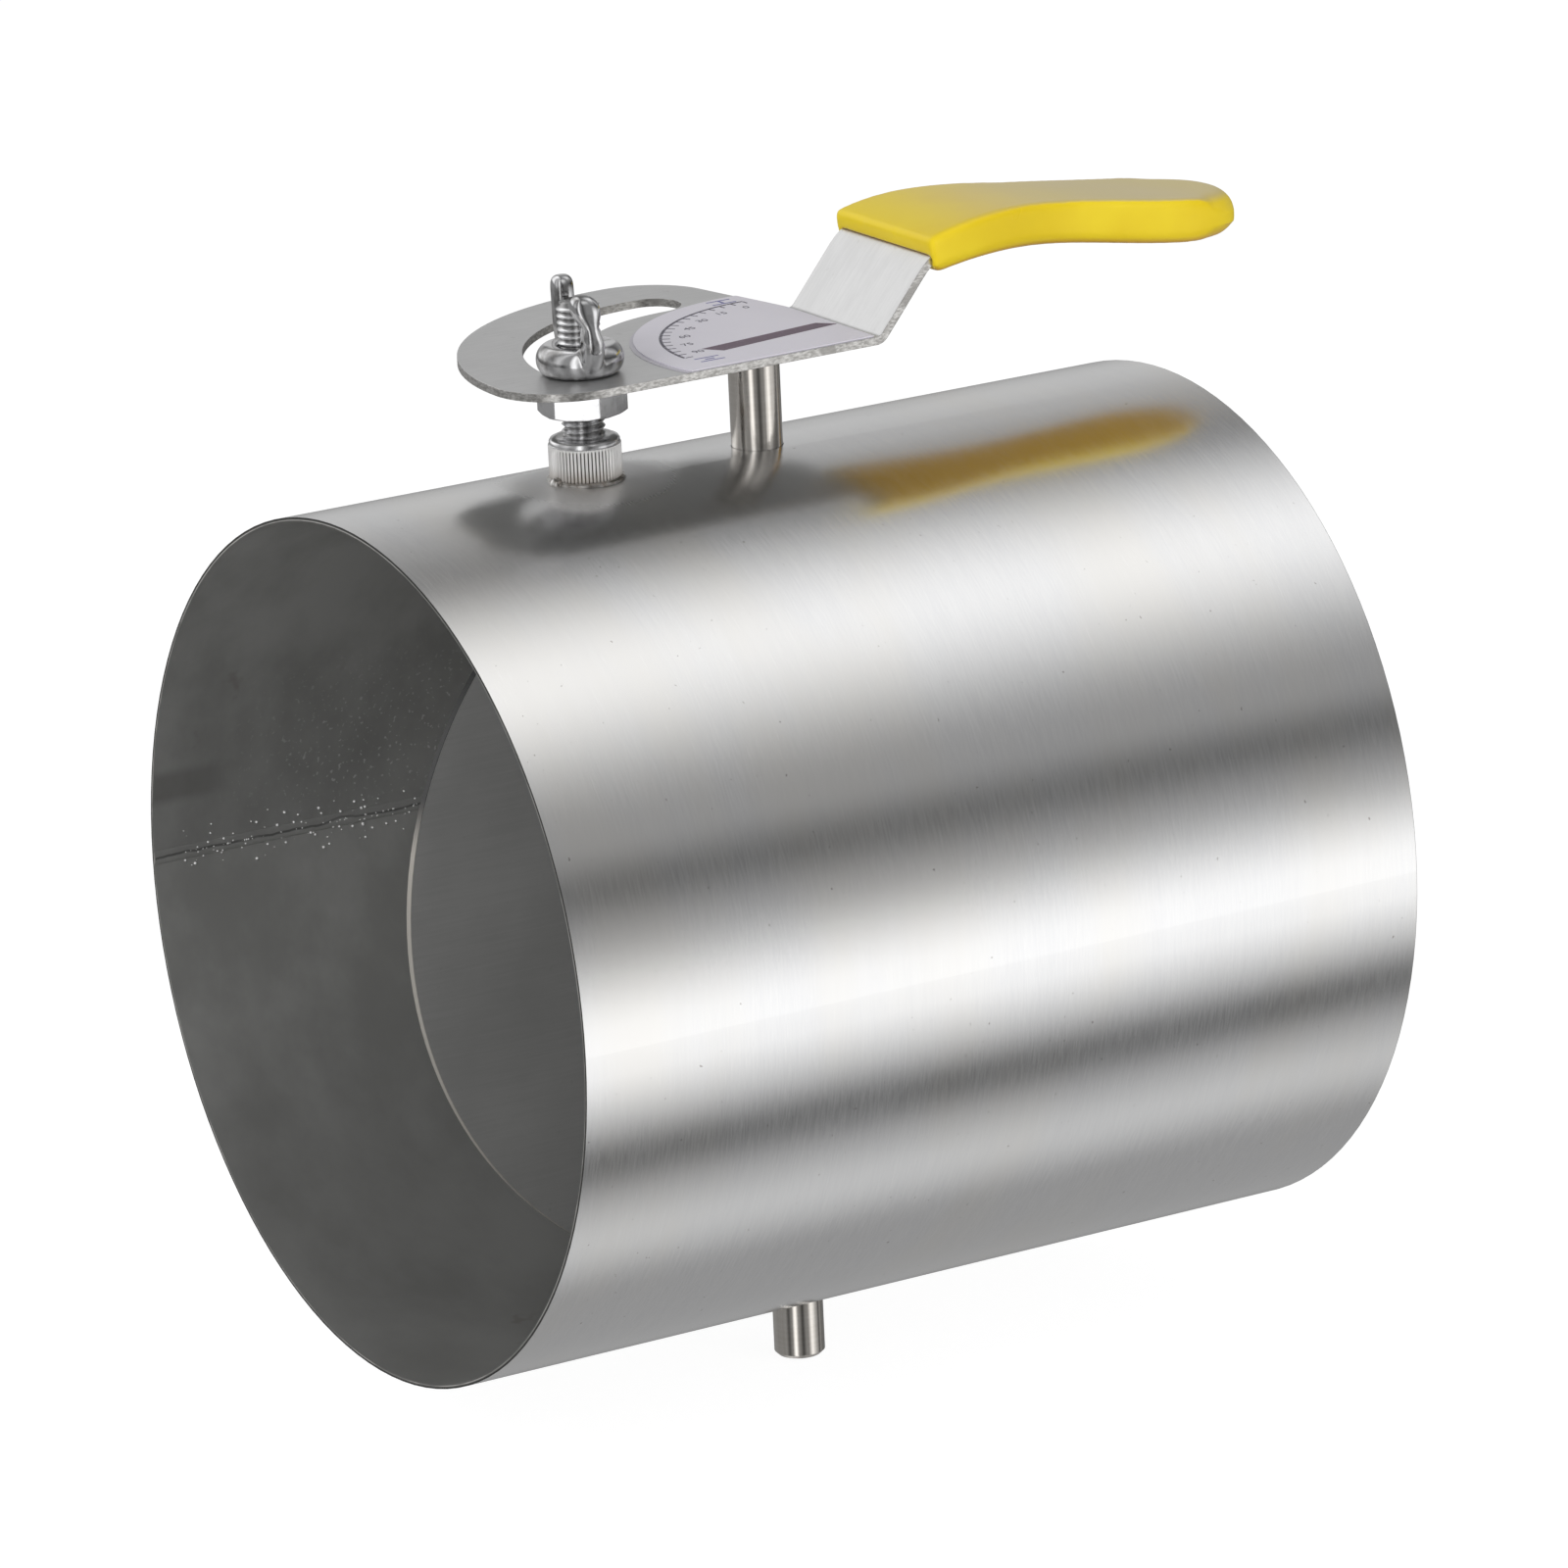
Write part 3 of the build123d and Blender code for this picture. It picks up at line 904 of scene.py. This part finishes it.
def dialTicks(finish):
    size = dialSizes
    inputs = {"Ticks": size["ticks"], "Radius": size["tickRadius"] * mm, "Length": size["tickLength"] * mm,
              "Width": size["tickWidth"] * mm}
    bench, entry = geometryTree("dial ticks", inputs)
    arc = bench.node("GeometryNodeCurveArc", {"mode": "RADIUS"},
                     {"Resolution": entry["Ticks"], "Radius": entry["Radius"], "Start Angle": pi,
                      "Sweep Angle": pi / 2})["Curve"]
    points = bench.node("GeometryNodeCurveToPoints", {"mode": "COUNT"},
                        {"Curve": arc, "Count": entry["Ticks"]})["Points"]
    block = bench.vector(X=entry["Width"], Y=entry["Length"], Z=(size["high"] - size["low"]) * mm)
    tick = bench.node("GeometryNodeMeshCube", {}, {"Size": block})["Mesh"]
    axes = bench.axes(bench.node("GeometryNodeInputPosition")["Position"])
    facing = bench.vector(Z=bench.sum("ARCTAN2", axes["Y"], axes["X"]) - pi / 2)
    ticks = bench.node("GeometryNodeInstanceOnPoints", {},
                       {"Points": points, "Instance": tick, "Rotation": facing})["Instances"]
    centre = (size["centre"][0] * mm, size["centre"][1] * mm, (size["low"] + size["high"]) / 2 * mm)
    ticks = bench.node("GeometryNodeTransform", {}, {"Geometry": ticks, "Translation": centre})["Geometry"]
    return grow(placed("ticks", bpy.data.meshes.new("ticks")), bench, inputs, finish, ticks)


def writing(text, spot):  # a number whose line runs along +Y
    size = dialSizes
    curve = bpy.data.curves.new("number", "FONT")
    curve.body = text
    curve.size = size["numberSize"] * mm
    curve.align_x = "CENTER"
    curve.align_y = "CENTER"
    curve.extrude = (size["high"] - size["low"]) / 2 * mm
    mesh = baked(placed("number", curve))
    place = (spot[0] * mm, spot[1] * mm, (size["low"] + size["high"]) / 2 * mm)
    mesh.transform(Matrix.Translation(place) @ Matrix.Rotation(pi / 2, 4, "Z"))
    return mesh


def bar(x, y, length, width, turn):
    c, s = cos(radians(turn)), sin(radians(turn))
    corners = [(-length / 2, -width / 2), (length / 2, -width / 2), (length / 2, width / 2),
               (-length / 2, width / 2)]
    return inked([(x + a * c - b * s, y + a * s + b * c) for a, b in corners])


def ductSign(x, y, vane):
    return [bar(x - 1.2, y, 5.0, 0.4, 90), bar(x + 1.2, y, 5.0, 0.4, 90), bar(x, y, 1.9, 0.5, vane)]


def newPrint(name, meshes, finish):
    newPiece(name, joined(name, meshes), finish, "vane", smooth=False)


def makeDial():
    size = dialSizes
    step = size["numberSweep"] / (len(size["numbers"]) - 1)
    numbers = [writing(text, onDial(size["numberRadius"], size["numberFrom"] + step * i))
               for i, text in enumerate(size["numbers"])]
    newPrint("dial_scale", [dialArc(), dialTicks(finishes["scale"])], finishes["scale"])
    newPrint("dial_numbers", numbers, finishes["scale"])
    newPrint("dial_pointer", [inked(size["pointer"])], finishes["pointer"])
    newPrint("dial_signs", [part for sign in size["signs"] for part in ductSign(*sign)], finishes["signs"])


makeDial()
print("dial done")


# Weld spatter along the seam inside the pipe

spatterSizes = {
    "beads": 240,
    "bead": 0.16 * mm,
    "spread": 5.0 * mm,
    "slide": 2.0 * mm,
    "wall": 79.25 * mm,
    "from": -82 * mm,
    "to": -28 * mm,
    "seed": 7,
}


def chance(bench, low, high, seed):
    return bench.node("FunctionNodeRandomValue", {"data_type": "FLOAT"},
                      {"Min": low, "Max": high, "Seed": seed})["Value"]


def makeSpatter():
    size = spatterSizes
    inputs = {"Beads": size["beads"], "Bead size": size["bead"], "Spread": size["spread"],
              "Seed": size["seed"]}
    bench, entry = geometryTree("spatter", inputs)
    line = bench.node("GeometryNodeMeshLine", {"mode": "END_POINTS"},
                      {"Count": entry["Beads"], "Start Location": (0, size["from"], 0),
                       "Offset": (0, size["to"], 0)})["Mesh"]
    along = bench.axes(bench.node("GeometryNodeInputPosition")["Position"])["Y"]
    lift = chance(bench, -1.0, 1.0, entry["Seed"])
    slide = chance(bench, -size["slide"], size["slide"], entry["Seed"] + 1)
    grown = chance(bench, 0.3, 1.7, entry["Seed"] + 2)
    height = lift * abs(lift) ** 4 * entry["Spread"]              # most beads lie close to the seam
    landed = bench.vector(X=bench.sum("COSINE", height / size["wall"]) * -size["wall"],
                          Y=along + slide, Z=height)
    points = bench.node("GeometryNodeSetPosition", {}, {"Geometry": line, "Position": landed})["Geometry"]
    bead = bench.node("GeometryNodeMeshIcoSphere", {}, {"Radius": entry["Bead size"], "Subdivisions": 2})
    beads = bench.node("GeometryNodeInstanceOnPoints", {},
                       {"Points": points, "Instance": bead["Mesh"], "Scale": grown})["Instances"]
    mesh = grow(placed("spatter", bpy.data.meshes.new("spatter")), bench, inputs, finishes["bead"], beads)
    newPiece("seam_spatter", mesh, finishes["bead"], "housing")


makeSpatter()
print("spatter done")


# Studio

cameraSizes = {
    "towards": (0.82588, -0.49176, 0.27586),
    "right": (0.52213, 0.85168, -0.04493),
    "up": (-0.21285, 0.18114, 0.96015),
    "place": (1.52531, -0.90591, 0.52450),
    "lens": 230.04,
    "sensor": 36,
    "clip": (0.05, 20),
}


def makeCamera():
    size = cameraSizes
    data = bpy.data.cameras.new("camera")
    data.sensor_width = size["sensor"]
    data.lens = size["lens"]
    data.clip_start, data.clip_end = size["clip"]
    right, up, back = (Vector(size[key]).normalized() for key in ("right", "up", "towards"))
    turn = Matrix((right, up, back)).transposed().to_4x4()
    camera = placed("camera", data)
    camera.matrix_world = Matrix.Translation(size["place"]) @ turn
    bpy.context.scene.camera = camera


# Bright panels and dark flags, seen in metal only: centre, half width and strength of each.
boxes = {
    "plain": 0.39,
    "panels": ((80, 42, 0.90), (-18, 32, 1.10), (-76, 22, 0.36), (165, 36, 0.27)),    # round the pipe's axis
    "flags": ((22, 12, -0.22), (-50, 12, -0.22), (122, 14, -0.12), (197, 22, -0.22)),
    "front": 0.30,                                              # where a face looks to -Y
    "strips": ((-46, 15, 1.35), (-76, 14, -0.2), (-12, 16, -0.22)),
    "high": ((-156, 46, 1.15), (-90, 36, 0.5)),                 # only above the horizon
    "belt": ((48, 30, 0.75), (132, 30, 0.7), (-62, 24, 0.4), (-118, 24, 0.4)),        # square to the pipe
    "side": 0.5,                                                # what is left where a face looks to +Y
    "ambient": 0.42,
}


def lit(bench, angle, plain, parts):  # panels and flags as soft bumps over one angle
    glow = plain
    for centre, half, strength in parts:
        offset = abs(bench.sum("WRAP", angle - centre, -180.0, 180.0))
        glow = glow + offset.rise(half, 0) * strength
    return glow


def makeWorld():
    world = bpy.data.worlds.new("studio")
    bpy.context.scene.world = world
    world.use_nodes = True
    world.node_tree.nodes.clear()
    bench = Bench(world.node_tree)
    axes = bench.axes(bench.coordinate("Generated"))
    x, y, z = axes["X"], axes["Y"], axes["Z"]
    roll = bench.sum("ARCTAN2", z, x) * (180 / pi)              # round the pipe's axis
    bearing = bench.sum("ARCTAN2", y, x) * (180 / pi)           # round the spindle
    sides = lit(bench, roll, boxes["plain"], boxes["panels"] + boxes["flags"])
    sides = sides * (1 - y.rise(0.60, 0.74) * (1 - boxes["side"]))
    front = lit(bench, bearing, boxes["front"], boxes["strips"])
    front = front + lit(bench, bearing, 0.0, boxes["high"]) * z.rise(-0.1, 0.12)
    front = front + lit(bench, roll, 0.0, boxes["belt"]) * abs(y).rise(0.24, 0.1)
    glow = sides + (front - sides) * y.rise(0.40, 0.20)
    rays = bench.node("ShaderNodeLightPath")
    strength = boxes["ambient"] + (glow - boxes["ambient"]) * rays["Is Glossy Ray"]
    strength = strength + (1 - strength) * rays["Is Camera Ray"]
    light = bench.node("ShaderNodeBackground", {}, {"Color": (1, 1, 1), "Strength": strength})
    bench.node("ShaderNodeOutputWorld", {}, {"Surface": light["Background"]})


floorSizes = {
    "radius": 6.0,
    "top": -0.0960,
    "bottom": -0.0965,
    "plain": (0.8, 0.8, 0.8),
    "seen": (0.22, 0.22, 0.22),
    "glow": 0.92,
}


def makeFloor():  # pale to the eye, plain to soft light, and not there in the metal's reflections
    size = floorSizes
    profile = [(0, size["top"]), (size["radius"], size["top"]),
               (size["radius"], size["bottom"]), (0, size["bottom"])]
    floor = placed("floor", turned("floor", profile, 64, (0, 0)))
    material, bench = newFinish("paleFloor")
    rays = bench.node("ShaderNodeLightPath")
    plain = bench.node("ShaderNodeBsdfDiffuse", {}, {"Color": size["plain"]})["BSDF"]
    shade = bench.node("ShaderNodeBsdfDiffuse", {}, {"Color": size["seen"]})["BSDF"]
    white = bench.node("ShaderNodeEmission", {}, {"Color": (1, 1, 1), "Strength": size["glow"]})["Emission"]
    seen = bench.node("ShaderNodeAddShader", {}, {0: shade, 1: white})["Shader"]
    clear = bench.node("ShaderNodeBsdfTransparent")["BSDF"]
    surface = bench.node("ShaderNodeMixShader", {}, {0: rays["Is Camera Ray"], 1: plain, 2: seen})["Shader"]
    surface = bench.node("ShaderNodeMixShader", {}, {0: rays["Is Glossy Ray"], 1: surface, 2: clear})
    bench.node("ShaderNodeOutputMaterial", {}, {"Surface": surface["Shader"]})
    floor.data.materials.append(material)


lamps = {
    "key": {"place": (0.6, -1.4, 1.0), "size": 1.1, "power": 13},
    "fill": {"place": (1.6, 0.6, 0.45), "size": 1.2, "power": 9},
}
lampAim = Vector((0, 0, 0.03))


def makeLamp(name, place, size, power):
    data = bpy.data.lights.new(name, "AREA")
    data.shape = "DISK"
    data.size = size
    data.energy = power
    lamp = placed(name, data)
    turn = (lampAim - Vector(place)).to_track_quat("-Z", "Y").to_matrix().to_4x4()
    lamp.matrix_world = Matrix.Translation(place) @ turn
    lamp.visible_glossy = False


makeCamera()
makeWorld()
makeFloor()
for name, lamp in lamps.items():
    makeLamp(name, **lamp)
bpy.context.scene.view_settings.view_transform = "Standard"
print("studio done")
